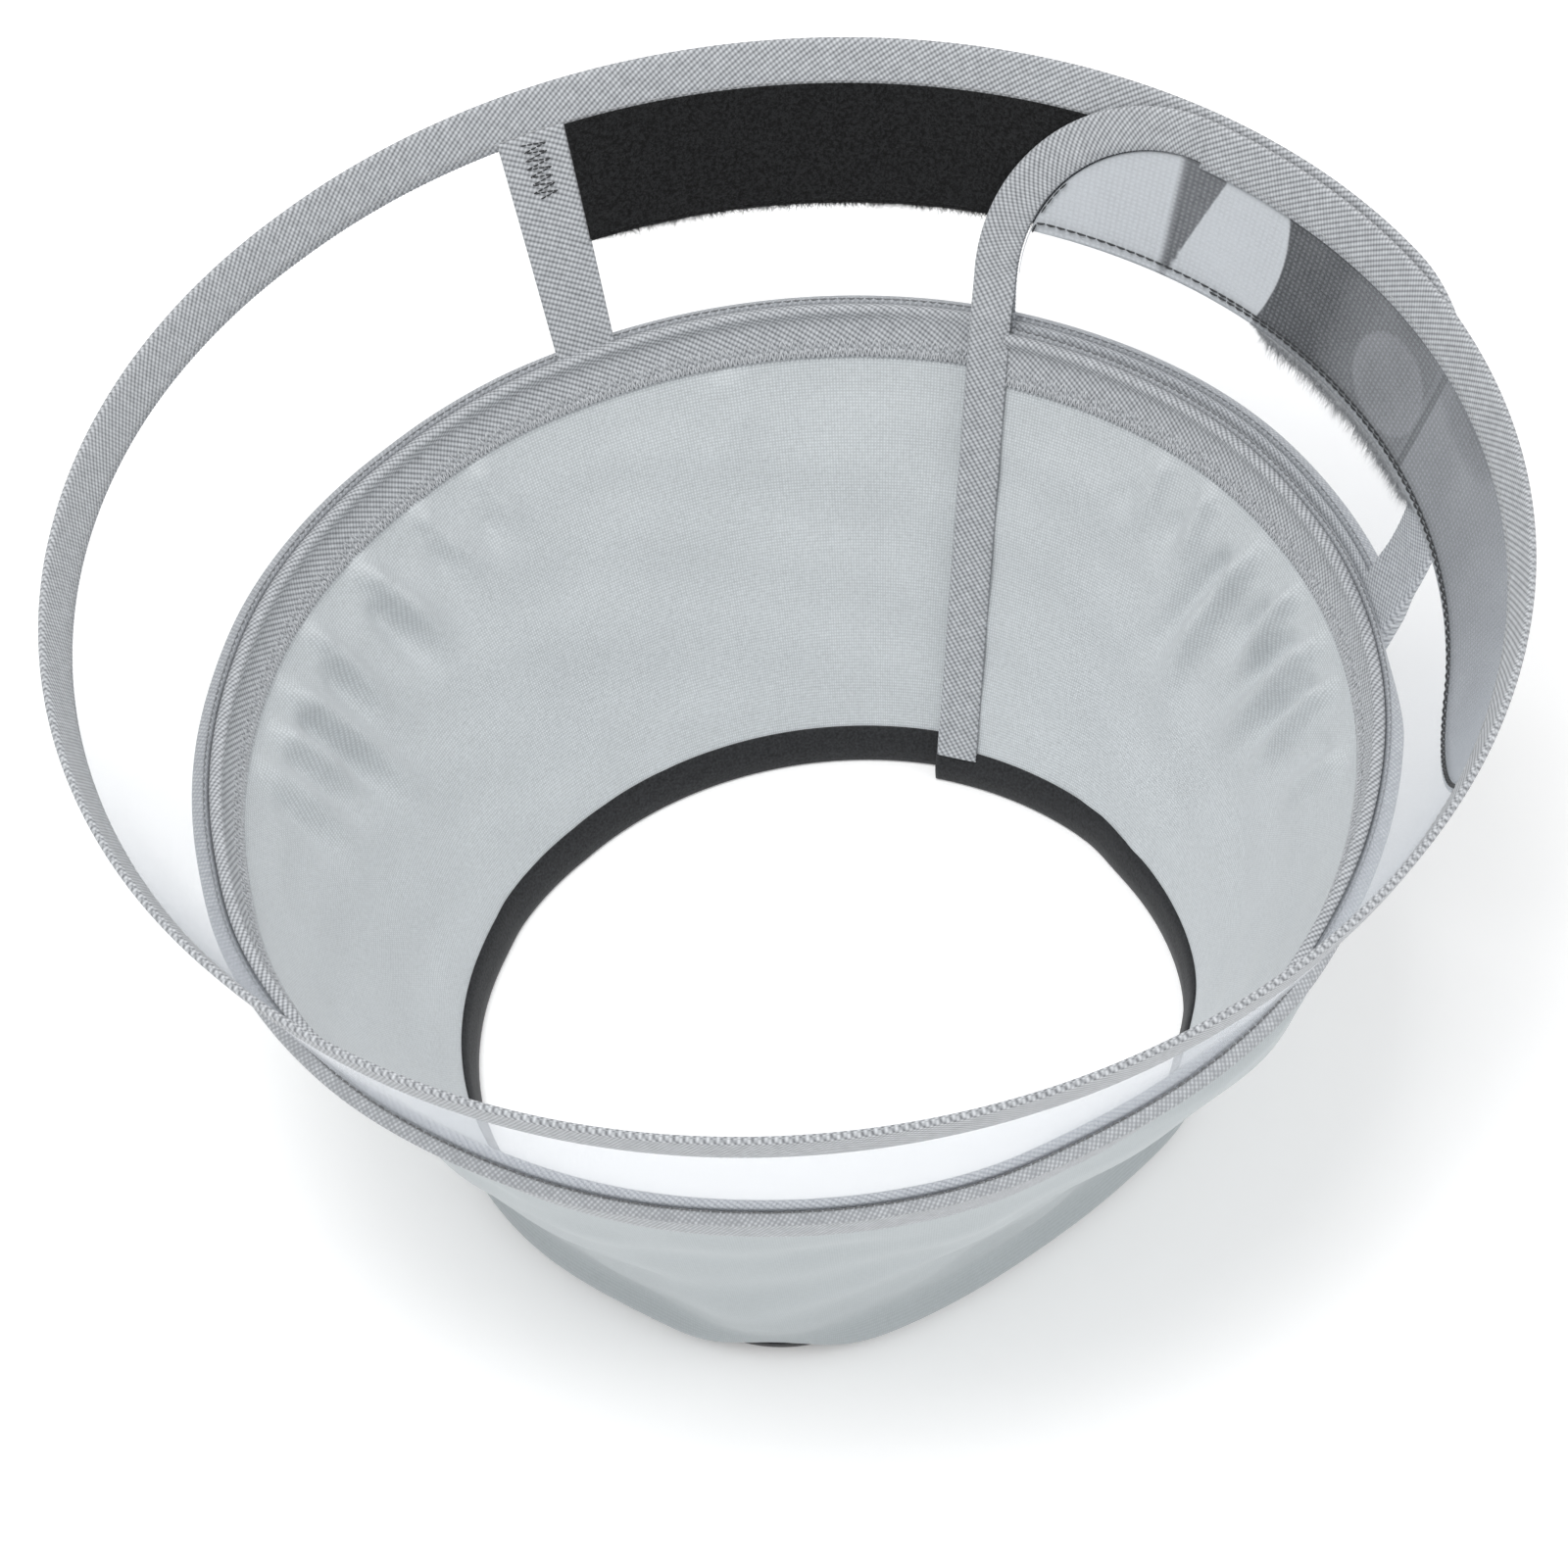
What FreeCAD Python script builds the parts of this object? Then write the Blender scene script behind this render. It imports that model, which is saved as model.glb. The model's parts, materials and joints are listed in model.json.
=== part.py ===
import FreeCAD, Part
import math
import os

# Pet recovery collar: one long sheet wrapped into a cone, with its two ends overlapping.
# The upper band of the sheet is clear film and the lower band is padded fabric. Every edge is bound in tape.
# Units are millimetres and degrees. +Z is the cone's axis, mouth up, and the neck ring rests on z = 0.
# A place on the sheet is its slant distance up from the neck and its offset from the sheet's middle,
# positive outwards. Angles go round Z from +X.

# Cone
NECK_R = 117.0           # wall inside the neck ring
HALF_ANGLE = 24.8        # between the cone's side and its axis
SLANT = 257.0            # neck edge to rim, along the side
NECK_WALL = 5.0          # height of the upright wall inside the neck ring

# Where the sheet is divided
FLAP_END = 70.0          # free end of the inner flap
FLAP_HINGE = 5.0         # line on which the flap swings inwards
TAIL_HINGE = 130.0       # line on which the outer tail swings outwards
TAIL_END = 7.0           # free end of the outer tail
TAIL_SHIFT = 6.6         # the tail is the same cone, moved sideways so that it lies outside the flap
TAIL_SHIFT_TURN = 88.0   # direction of that move, from the tail's hinge line: almost along the sheet there
HINGE_GAP = 0.1          # left on each side of a hinge line
CORNER_R = 68.0          # rounded upper corner of each free end

# Layers
PAD_HALF = 1.8           # half the thickness of the padded band
SEAM_HALF = 1.1          # half its thickness where it is stitched flat
CLOTH = 0.5              # lining and outer cover
FILM_HALF = 0.4          # half the thickness of the clear film
SKIN = 0.05              # space between layers that are stitched together
TAPE = 0.75              # binding tape

# Slant distances
PAD_START = 6.0
NECK_FLANGE = 14.0       # top of the neck binding
PAD_FULL_LOW = 24.0
PAD_FULL_HIGH = 136.0
FILM_START = 150.0
PAD_TOP = 167.0
SEAM_LOW = 149.0
SEAM_HIGH_INNER = 169.0
SEAM_HIGH_OUTER = 175.0
STEP_LOW = 176.0         # where an end binding narrows from pad to film
STEP_HIGH = 180.0

# Tape widths and closure strips
RIM_WIDTH = 15.5
END_WIDTH = 15.0
STRIP_LOW = 200.0
LOOP_LOW = 203.0
HOOK_THICK = 0.9
PILE_THICK = 2.5
LOW_STRIP = (40.0, 72.0)
LOW_STRIP_THICK = 0.5
LOW_HOOK_SPAN = (15.0, 61.0)
LOW_LOOP_SPAN = (17.0, 66.0)
UPPER_HOOK_START = -33.0
LOOP_STRIP_END = 104.5
STAY_SPAN = (104.7, 110.5)

SIN = math.sin(math.radians(HALF_ANGLE))
COS = math.cos(math.radians(HALF_ANGLE))
TAN = SIN / COS
ORIGIN = FreeCAD.Vector(0, 0, 0)
AXIS = FreeCAD.Vector(0, 0, 1)

# The upright neck wall starts where the cone's inner face is NECK_WALL above the floor.
WALL_SLANT = (NECK_WALL - PAD_HALF * SIN) / COS
BASE_R = NECK_R - WALL_SLANT * SIN + PAD_HALF * COS
RIM_TAPE_HALF = FILM_HALF + SKIN + TAPE + 0.1
END_TAPE_HALF = PAD_HALF + SKIN + TAPE
FILM_TOP = SLANT - TAPE - SKIN
ROOM = 40.0              # cutting tools reach this far past what they cut


def at(slant, offset):
    """Point in the XZ plane for a place on the sheet."""
    radius = BASE_R + slant * SIN + offset * COS
    height = slant * COS - offset * SIN
    return FreeCAD.Vector(radius, 0, height)


def turn(points, start, end):
    """Solid made by turning a closed outline in the XZ plane from one angle to another."""
    outline = Part.makePolygon(points + points[:1])
    solid = Part.Face(outline).revolve(ORIGIN, AXIS, end - start)
    solid.rotate(ORIGIN, AXIS, start)
    return solid


def band(low, high, inner, outer, start, end):
    """Strip of even thickness between two slant distances."""
    points = [at(low, inner), at(high, inner), at(high, outer), at(low, outer)]
    return turn(points, start, end)


def mirrored(points):
    """The other side of a symmetrical outline, in (slant, half thickness) pairs."""
    upper = [at(slant, half) for slant, half in points]
    lower = [at(slant, -half) for slant, half in reversed(points)]
    return upper + lower


# Outlines of the layers, in (slant, half thickness) pairs
PAD_FACE = [
    (PAD_START, SEAM_HALF),
    (NECK_FLANGE, SEAM_HALF),
    (PAD_FULL_LOW, PAD_HALF),
    (PAD_FULL_HIGH, PAD_HALF),
    (FILM_START - 2, SEAM_HALF),
    (PAD_TOP, SEAM_HALF),
]
FOAM_FACE = [
    (NECK_FLANGE + 3, SEAM_HALF - CLOTH - SKIN),
    (PAD_FULL_LOW + 2, PAD_HALF - CLOTH - SKIN),
    (PAD_FULL_HIGH - 2, PAD_HALF - CLOTH - SKIN),
    (FILM_START - 4, SEAM_HALF - CLOTH - SKIN),
]
END_FACE = [
    (NECK_FLANGE + 0.5, END_TAPE_HALF),
    (STEP_LOW, END_TAPE_HALF),
    (STEP_HIGH, RIM_TAPE_HALF),
    (SLANT, RIM_TAPE_HALF),
]
END_CORE = [
    (NECK_FLANGE, PAD_HALF + 2 * SKIN),
    (STEP_LOW - 0.5, PAD_HALF + 2 * SKIN),
    (STEP_HIGH - 1, FILM_HALF + SKIN),
    (FILM_TOP + SKIN, FILM_HALF + SKIN),
]


def lining(start, end):
    face = [at(slant, -half) for slant, half in PAD_FACE]
    back = [at(slant, -half + CLOTH) for slant, half in reversed(PAD_FACE)]
    return turn(face + back, start, end)


def outer_cover(start, end):
    face = [at(slant, half) for slant, half in PAD_FACE]
    back = [at(slant, half - CLOTH) for slant, half in reversed(PAD_FACE)]
    return turn(face + back, start, end)


def padding(start, end):
    return turn(mirrored(FOAM_FACE), start, end)


def film(start, end):
    return band(FILM_START, FILM_TOP, -FILM_HALF, FILM_HALF, start, end)


def seam_tape_inner(start, end):
    near = SEAM_HALF + SKIN
    return band(SEAM_LOW, SEAM_HIGH_INNER, -near - TAPE + SKIN, -near, start, end)


def seam_tape_outer(start, end):
    near = SEAM_HALF + SKIN
    return band(SEAM_LOW, SEAM_HIGH_OUTER, near, near + TAPE - SKIN, start, end)


def rim_binding(start, end):
    low = SLANT - RIM_WIDTH
    inside = FILM_HALF + SKIN
    points = [
        at(low, -RIM_TAPE_HALF), at(SLANT, -RIM_TAPE_HALF), at(SLANT, RIM_TAPE_HALF), at(low, RIM_TAPE_HALF),
        at(low, inside), at(FILM_TOP + SKIN, inside), at(FILM_TOP + SKIN, -inside), at(low, -inside),
    ]
    return turn(points, start, end)


def neck_binding(start, end):
    """Folded edging with an upright inner wall and a flat foot."""
    near = SEAM_HALF + SKIN
    floor_slant = PAD_HALF * TAN
    points = [
        FreeCAD.Vector(NECK_R, 0, 0),
        FreeCAD.Vector(NECK_R, 0, NECK_WALL),
        at(NECK_FLANGE, -PAD_HALF), at(NECK_FLANGE, -near),
        at(PAD_START - SKIN, -near), at(PAD_START - SKIN, near),
        at(NECK_FLANGE, near), at(NECK_FLANGE, PAD_HALF),
        at(floor_slant, PAD_HALF),
    ]
    return turn(points, start, end)


LAYERS = {
    "film": film,
    "lining": lining,
    "padding": padding,
    "outer_cover": outer_cover,
    "rim_binding": rim_binding,
    "seam_tape_inner": seam_tape_inner,
    "seam_tape_outer": seam_tape_outer,
    "neck_binding": neck_binding,
}

# A free end is built with its end plane on y = 0 and the sheet on the side of negative angles.
CORNER_SLANT = SLANT - CORNER_R
CORNER_RADIUS = BASE_R + CORNER_SLANT * SIN
CORNER_ANGLE = -math.degrees(math.asin((CORNER_R - TAPE) / CORNER_RADIUS))
CORNER_VIEW = 0.4 * CORNER_ANGLE


def corner_waste(inset):
    """What a rounded corner removes, for an edge that lies this far inside the tape's edge."""
    tool = Part.makeBox(2 * ROOM + CORNER_R, 2 * ROOM + CORNER_R, 2 * ROOM, FreeCAD.Vector(0, 0, -ROOM))
    tool = tool.cut(Part.makeCylinder(CORNER_R - inset, 4 * ROOM, FreeCAD.Vector(0, 0, -2 * ROOM)))
    view = math.radians(CORNER_VIEW)
    across = FreeCAD.Vector(-math.sin(view), math.cos(view), 0)
    along = FreeCAD.Vector(SIN * math.cos(view), SIN * math.sin(view), COS)
    inwards = across.cross(along)
    centre = at(CORNER_SLANT, 0)
    centre = FreeCAD.Rotation(AXIS, CORNER_ANGLE).multVec(centre)
    tool.Placement = FreeCAD.Placement(centre, FreeCAD.Rotation(across, along, inwards, "ZXY"))
    return tool


def beyond(y):
    """Everything past a plane that is parallel to the end plane."""
    size = 2 * SLANT
    return Part.makeBox(size, size, size + ROOM, FreeCAD.Vector(0, y, -ROOM))


def finish_edge(shape, inset):
    """Cut a layer back to a line that lies this far inside the tape's edge, round the corner too."""
    return shape.cut(beyond(TAPE + SKIN - inset)).cut(corner_waste(inset))


def end_binding():
    """Tape folded over the free end, from the neck binding up and round the corner to the rim."""
    past = 3.0
    shell = finish_edge(turn(mirrored(END_FACE), CORNER_ANGLE, past), 0)
    core = finish_edge(turn(mirrored(END_CORE), CORNER_ANGLE - past, past), TAPE)
    sheet = band(0, SLANT - RIM_WIDTH, -2 * END_TAPE_HALF, 2 * END_TAPE_HALF, CORNER_ANGLE - past, past)
    sheet = finish_edge(sheet, END_WIDTH)
    return shell.cut(core).cut(sheet)


def place_flap(shape):
    shape.rotate(ORIGIN, AXIS, FLAP_END)
    return shape


def place_tail(shape):
    """Turn a free end into the tail's: mirrored, at the tail's angle, and moved outside the flap."""
    shape = shape.mirror(ORIGIN, FreeCAD.Vector(0, 1, 0))
    shape.rotate(ORIGIN, AXIS, TAIL_END)
    direction = math.radians(TAIL_HINGE - TAIL_SHIFT_TURN)
    shape.translate(FreeCAD.Vector(math.cos(direction), math.sin(direction), 0) * TAIL_SHIFT)
    return trim_tail(shape)


def trim_tail(shape):
    """Cut the tail off straight along its hinge line."""
    size = 2 * SLANT
    past_hinge = Part.makeBox(size, size, size, FreeCAD.Vector(0, 0, -ROOM))
    past_hinge.rotate(ORIGIN, AXIS, TAIL_HINGE - HINGE_GAP)
    return shape.cut(past_hinge)


def free_end_layers(hinge_angle):
    """The sheet from its free end back to its hinge line, with its end binding."""
    parts = {}
    for name, layer in LAYERS.items():
        parts[name] = layer(hinge_angle, 0)
    parts["film"] = finish_edge(film(hinge_angle, 0), TAPE + SKIN)
    parts["rim_binding"] = rim_binding(hinge_angle, CORNER_ANGLE)
    parts["end_binding"] = end_binding()
    return parts


def closure_strip(low, high, inner, outer, start, end):
    """Hook or loop strip that stops at the end binding."""
    return finish_edge(band(low, high, inner, outer, start, end), END_WIDTH + SKIN)


def save(name, shape):
    if isinstance(shape, Part.Shape) and len(shape.Solids) == 1:
        shape = shape.Solids[0]
    print(f"{name}: {shape.Volume:.0f} mm3, {len(shape.Solids)} solid, valid {shape.isValid()}")
    shape.exportStep(f"parts/{name}.step")


os.makedirs("parts", exist_ok=True)

strip_top = SLANT - RIM_WIDTH - SKIN
strip_face = FILM_HALF + SKIN
low_face = PAD_HALF + SKIN

# Front: the middle of the sheet, which holds both ends
front_start = TAIL_HINGE + HINGE_GAP
front_end = FLAP_HINGE - HINGE_GAP + 360
for name, layer in LAYERS.items():
    save("front_" + name, layer(front_start, front_end))
front_hook = band(STRIP_LOW, strip_top, strip_face, strip_face + HOOK_THICK,
                  UPPER_HOOK_START + 360, front_end)
save("front_hook_strip", front_hook)

# Flap: the inner end
flap_hinge = FLAP_HINGE + HINGE_GAP - FLAP_END
flap = free_end_layers(flap_hinge)
flap["hook_strip"] = closure_strip(STRIP_LOW, strip_top, strip_face, strip_face + HOOK_THICK, flap_hinge, 0)
flap["low_hook_strip"] = band(LOW_STRIP[0], LOW_STRIP[1], low_face, low_face + LOW_STRIP_THICK,
                              LOW_HOOK_SPAN[0] - FLAP_END, LOW_HOOK_SPAN[1] - FLAP_END)
for name, shape in flap.items():
    save("flap_" + name, place_flap(shape))

# Tail: the outer end, built long and cut off along its hinge line
tail_span = TAIL_HINGE - TAIL_END
tail = free_end_layers(-tail_span - 6)
tail["loop_strip"] = closure_strip(LOOP_LOW, strip_top, -strip_face - PILE_THICK, -strip_face,
                                   TAIL_END - LOOP_STRIP_END, 0)
tail["low_loop_strip"] = band(LOW_STRIP[0], LOW_STRIP[1], -low_face - LOW_STRIP_THICK, -low_face,
                              TAIL_END - LOW_LOOP_SPAN[1], TAIL_END - LOW_LOOP_SPAN[0])
tail["stay_tape"] = band(SEAM_HIGH_INNER + SKIN, strip_top, -strip_face - TAPE, -strip_face,
                         TAIL_END - STAY_SPAN[1], TAIL_END - STAY_SPAN[0])
for name, shape in tail.items():
    save("tail_" + name, place_tail(shape))
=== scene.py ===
import json
import math

import bmesh
import bpy
import numpy as np
from mathutils import Matrix, Vector


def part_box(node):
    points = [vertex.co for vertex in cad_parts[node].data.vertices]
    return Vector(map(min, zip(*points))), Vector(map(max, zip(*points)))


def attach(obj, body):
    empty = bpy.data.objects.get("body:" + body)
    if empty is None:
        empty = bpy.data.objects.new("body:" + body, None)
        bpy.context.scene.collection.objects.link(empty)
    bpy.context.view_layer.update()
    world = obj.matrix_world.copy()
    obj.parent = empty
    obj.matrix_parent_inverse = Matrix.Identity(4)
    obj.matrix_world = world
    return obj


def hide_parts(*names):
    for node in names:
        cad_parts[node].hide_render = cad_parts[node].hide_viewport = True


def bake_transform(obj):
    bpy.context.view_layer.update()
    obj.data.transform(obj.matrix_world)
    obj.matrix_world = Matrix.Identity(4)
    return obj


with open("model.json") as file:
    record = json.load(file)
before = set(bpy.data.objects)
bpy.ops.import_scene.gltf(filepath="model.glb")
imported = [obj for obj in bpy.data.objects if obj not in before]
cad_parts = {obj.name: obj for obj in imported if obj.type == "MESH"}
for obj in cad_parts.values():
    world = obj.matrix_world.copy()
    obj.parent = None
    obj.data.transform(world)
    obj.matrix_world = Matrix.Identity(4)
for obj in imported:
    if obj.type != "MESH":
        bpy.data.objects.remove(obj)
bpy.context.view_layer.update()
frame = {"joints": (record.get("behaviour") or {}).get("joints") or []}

MM = 0.001
DEG = math.pi / 180

# ---------------------------------------------------------------- the cone, read from the frame
JOINTS = {joint["name"]: joint for joint in frame["joints"]}


def axis_angle(name):
    """Angle round Z, from +X, of a hinge that lies along the cone's side."""
    x, y, _ = JOINTS[name]["axis"]
    return math.atan2(y, x)


HALF_ANGLE = math.acos(JOINTS["flap_swing"]["axis"][2])
SIN = math.sin(HALF_ANGLE)
COS = math.cos(HALF_ANGLE)
TAPE_HALF = 1.3 * MM                    # half the thickness of the rim where it is bound
rim_low, rim_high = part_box("front_rim_binding")
SLANT = (rim_high.z - TAPE_HALF * SIN) / COS
BASE_R = -rim_low.x - SLANT * SIN - TAPE_HALF * COS
APEX = BASE_R / SIN                     # from the cone's point to the neck edge, along the side
SEAM_R = BASE_R + 0.15 * SIN            # the cone's radius near the seam, and at the closure strips
STRIP_R = BASE_R + 0.22 * SIN

# A place on the sheet is its turn, the angle wound on from the flap's free end, and its slant distance.
FLAP_END = 68 * DEG                     # angle round Z of the flap's free end, and of the tail's
TAIL_END = 5.5 * DEG
TURN_TAIL = FLAP_END - axis_angle("tail_swing") + 2 * math.pi
TURN_END = FLAP_END - TAIL_END + 2 * math.pi
TURN_SPLIT = 216.5 * DEG                # where each long layer is divided into a right and a left piece
TAIL_LIFT = 6.6 * MM                    # how far out the tail lies over the flap at the padding
FILM_LIFT = 0.58                        # share of that at the film

# Layers: half thicknesses, and offsets from the middle of the sheet
FILM_HALF = 0.4 * MM
PAD_HALF = 1.8 * MM
SEAM_HALF = 1.05 * MM
TAPE = 0.75 * MM                        # whole thickness of binding and seam tape
FILM_FACE = FILM_HALF + 0.05 * MM       # where tapes and strips lie on the film
SEAM_NEAR = SEAM_HALF + 0.1 * MM        # and on the stitched edges of the padding

# Slant distances
NECK_TOP = 14 * MM
PAD_LOW = 6 * MM
PAD_TOP = 161 * MM
FILM_LOW = 150 * MM
SEAM_LOW = 147 * MM
SEAM_HIGH = 165 * MM
STRIP_LOW = 200.8 * MM
LOOP_LOW = 201 * MM
RIM_WIDTH = 16.5 * MM
CORNER_R = 68 * MM
SHEET_INSET = 1.3 * MM                  # edge of the film inside the fold of its binding


def clear_of_overlap(turn, sign):
    """1 where there is room on one face of the sheet, 0 where the other end lies against it. sign is -1 for
    the inner face, which the flap touches, and 1 for the outer face, which the tail touches."""
    return smooth(turn, 64 * DEG, 76 * DEG) if sign > 0 else 1 - smooth(turn, 346 * DEG, 358 * DEG)


def bead_room(turn, sign):
    """Share of a seam tape's full bead at each turn: none under the overlap, and less at the front."""
    return clear_of_overlap(turn, sign) * (1 - 0.35 * hump(turn, FLAP_END + 90 * DEG, 45 * DEG))


def smooth(value, low, high):
    """0 below low, 1 above high, and a smooth step between."""
    share = np.clip((value - low) / (high - low), 0, 1)
    return share * share * (3 - 2 * share)


def hump(value, centre, width):
    return np.exp(-((value - centre) / width) ** 2)


# How far the worn collar leans in from a true cone, at the seam and at the neck: angle round Z in degrees
# and distance in mm.
SEAM_LEAN = [(-150, -1.5), (-120, 0), (-90, 1.0), (-55, 4.0), (-20, 6.2), (2, 4.8), (20, 2.8), (45, 0.8),
             (85, 0.3), (140, -0.4), (175, 0.8)]
NECK_LEAN = [(-150, 2), (-126, 3), (-103, -8), (-85, 6), (-70, 14), (-55, 17), (-40, 14), (-20, 6), (10, 2),
             (60, 0), (120, 0), (180, 1)]


def eased(angle, rows):
    """Distance at any angle, eased round the ring from rows such as those above."""
    stops = np.array([row[0] for row in rows]) * DEG
    depth = np.array([row[1] for row in rows]) * MM
    spread = 14 * DEG
    around = np.abs((angle[..., None] - stops + math.pi) % (2 * math.pi) - math.pi)
    gaps = (np.roll(stops, -1) - np.roll(stops, 1)) % (2 * math.pi)
    weight = gaps * np.exp(-(around / spread) ** 2)
    return (weight * depth).sum(-1) / weight.sum(-1)


def surface(turn, slant, offset):
    """Points in the frame for places on the sheet. Offset is outwards from the middle of the sheet."""
    turn, slant, offset = np.broadcast_arrays(turn, slant, offset)
    angle = FLAP_END - turn
    lift = TAIL_LIFT * np.sin(np.clip(turn - TURN_TAIL, 0, math.pi))
    lift = lift * (1 - (1 - FILM_LIFT) * smooth(slant, 162 * MM, 215 * MM))
    lean = eased(angle, SEAM_LEAN) * smooth(slant, 15 * MM, 125 * MM) * (1 - smooth(slant, 160 * MM, 245 * MM))
    lean = lean + eased(angle, NECK_LEAN) * (1 - smooth(slant, 30 * MM, 125 * MM))
    radius = BASE_R + slant * SIN + offset * COS + lift - lean
    height = slant * COS - offset * SIN
    return np.stack([radius * np.cos(angle), radius * np.sin(angle), height], -1)


def flat(turn, slant):
    """The same places before the sheet was wrapped: x runs up the flap's free end, from the cone's point."""
    theta = turn * SIN
    return np.stack([(APEX + slant) * np.cos(theta), (APEX + slant) * np.sin(theta)], -1)


def wrapped(points):
    """(turn, slant) of points of the flat sheet."""
    theta = np.arctan2(points[..., 1], points[..., 0])
    theta = np.where(theta < -0.5, theta + 2 * math.pi, theta)
    return theta / SIN, np.hypot(points[..., 0], points[..., 1]) - APEX


CORNER_CENTRE = APEX + SLANT - CORNER_R
CORNER_THETA = math.asin(CORNER_R / CORNER_CENTRE)
TURN_CORNER = CORNER_THETA / SIN        # where the flap's rounded corner runs into the rim
THETA_END = TURN_END * SIN


def outline(spacing):
    """The sheet's bound edge, from the neck up the flap's end, round the rim and down the tail's end:
    points of the flat sheet, the direction into the sheet, and the distance along."""
    tangent_at = CORNER_CENTRE * math.cos(CORNER_THETA)
    start = APEX + NECK_TOP - 3 * MM
    runs = []

    def run(length, place):
        count = max(2, int(round(length / spacing)))
        runs.append(place(np.arange(count) / count))

    def up(share):
        along = start + share * (tangent_at - start)
        return np.stack([along, 0 * along], -1)

    def corner(share):
        angle = -math.pi / 2 + share * (CORNER_THETA + math.pi / 2)
        centre = CORNER_CENTRE * np.array([math.cos(CORNER_THETA), math.sin(CORNER_THETA)])
        return centre + CORNER_R * np.stack([np.cos(angle), np.sin(angle)], -1)

    def mirror(points):
        """The same run at the tail's end, in the other direction."""
        turn, slant = wrapped(points[::-1])
        return flat(TURN_END - turn, slant)

    def rim(share):
        theta = CORNER_THETA + share * (THETA_END - 2 * CORNER_THETA)
        return (APEX + SLANT) * np.stack([np.cos(theta), np.sin(theta)], -1)

    run(tangent_at - start, up)
    run(CORNER_R * (CORNER_THETA + math.pi / 2), corner)
    run((APEX + SLANT) * (THETA_END - 2 * CORNER_THETA), rim)
    points = np.concatenate(runs + [mirror(runs[1]), mirror(runs[0])])
    step = np.gradient(points, axis=0)
    step /= np.linalg.norm(step, axis=1)[:, None]
    inwards = np.stack([-step[:, 1], step[:, 0]], -1)
    along = np.concatenate([[0], np.cumsum(np.linalg.norm(np.diff(points, axis=0), axis=1))])
    return points, inwards, along


def top_edge(turn, inset):
    """Slant of a line that follows the bound edge this far inside it, rounded corners included."""
    theta = np.minimum(turn, TURN_END - turn) * SIN
    away = np.clip(CORNER_THETA - theta, 0, None)
    radius = CORNER_R - inset
    inside = np.clip(radius ** 2 - (CORNER_CENTRE * np.sin(away)) ** 2, 0, None)
    arc = CORNER_CENTRE * np.cos(away) + np.sqrt(inside) - APEX
    return np.where(away > 0, arc, SLANT - inset)


def end_turn(inset):
    """Turn at which a sheet this far inside the bound edge starts."""
    return (CORNER_THETA - math.asin((CORNER_R - inset) / CORNER_CENTRE)) / SIN


# ---------------------------------------------------------------- meshes
def make_mesh(name, points, faces, uv, materials, sharp=()):
    """A mesh object from its points, faces and one (along, across) pair per point, in metres."""
    mesh = bpy.data.meshes.new(name)
    mesh.from_pydata(np.asarray(points).reshape(-1, 3).tolist(), [], faces)
    mesh.polygons.foreach_set("use_smooth", [True] * len(mesh.polygons))
    for index in sharp:
        mesh.polygons[index].use_smooth = False
    layer = mesh.uv_layers.new(name="sheet")
    corners = np.zeros(len(mesh.loops), np.int32)
    mesh.loops.foreach_get("vertex_index", corners)
    layer.data.foreach_set("uv", np.asarray(uv).reshape(-1, 2)[corners].ravel())
    for material in materials:
        mesh.materials.append(material)
    mesh.validate()
    face_outwards(mesh)
    piece = bpy.data.objects.new(name, mesh)
    bpy.context.scene.collection.objects.link(piece)
    return piece


def face_outwards(mesh):
    """Turns the faces of a closed mesh to point out of it."""
    shell = bmesh.new()
    shell.from_mesh(mesh)
    inside_out = shell.calc_volume(signed=True) < 0
    shell.free()
    if inside_out:
        mesh.flip_normals()


def loop_faces(rows, columns):
    """Quads of a tube made of rings of points, one ring per row, with its two end caps last."""
    faces = []
    for row in range(rows - 1):
        for column in range(columns):
            following = (column + 1) % columns
            a, b = row * columns + column, row * columns + following
            faces.append((a, b, b + columns, a + columns))
    faces.append(tuple(range(columns))[::-1])
    faces.append(tuple((rows - 1) * columns + column for column in range(columns)))
    return faces


def tube(name, placed, uv, materials):
    """A closed tube with flat ends, from its rings of points."""
    faces = loop_faces(*placed.shape[:2])
    return make_mesh(name, placed, faces, uv, materials, sharp=(len(faces) - 2, len(faces) - 1))


def level(value):
    """The same slant or offset everywhere."""
    return lambda turn, slant=None: 0 * turn + value


def swept(name, path, section, core=level(FILM_FACE)):
    """Binding tape along part of the sheet's outline. The section is a closed loop of (distance into the
    sheet, side, level): side is -1 inside to 1 outside the cone, and level is 0 on the tape's back and 1 on
    its face. core is half the thickness of what it is folded over, at each slant."""
    points, inwards, along = path
    across = np.array([row[0] for row in section])
    side = np.array([row[1] for row in section])
    height = np.array([row[2] for row in section])
    free_edge = smooth(across, 0.85 * across.max(), across.max()) - 0.2 * (1 - smooth(across, 0, 0.8 * MM))
    scallop = PICOT_DEPTH * np.cos(2 * math.pi * along / PICOT)[:, None] * free_edge[None, :]
    reach = across[None, :] + scallop
    spots = points[:, None, :] + inwards[:, None, :] * reach[:, :, None]
    turn, slant = wrapped(spots)
    offset = side[None, :] * (core(slant) + height[None, :] * TAPE)
    placed = surface(turn, slant, offset)
    from_fold = np.where(side < 0, -1, 1) * (across + 0.4 * MM)
    uv = np.stack(np.broadcast_arrays(along[:, None], from_fold[None, :]), -1)
    return tube(name, placed, uv, [TAPE_CLOTH])


def part_of(path, first, last):
    """The same path from one of its points to another."""
    return tuple(values[first:last] for values in path)


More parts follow.
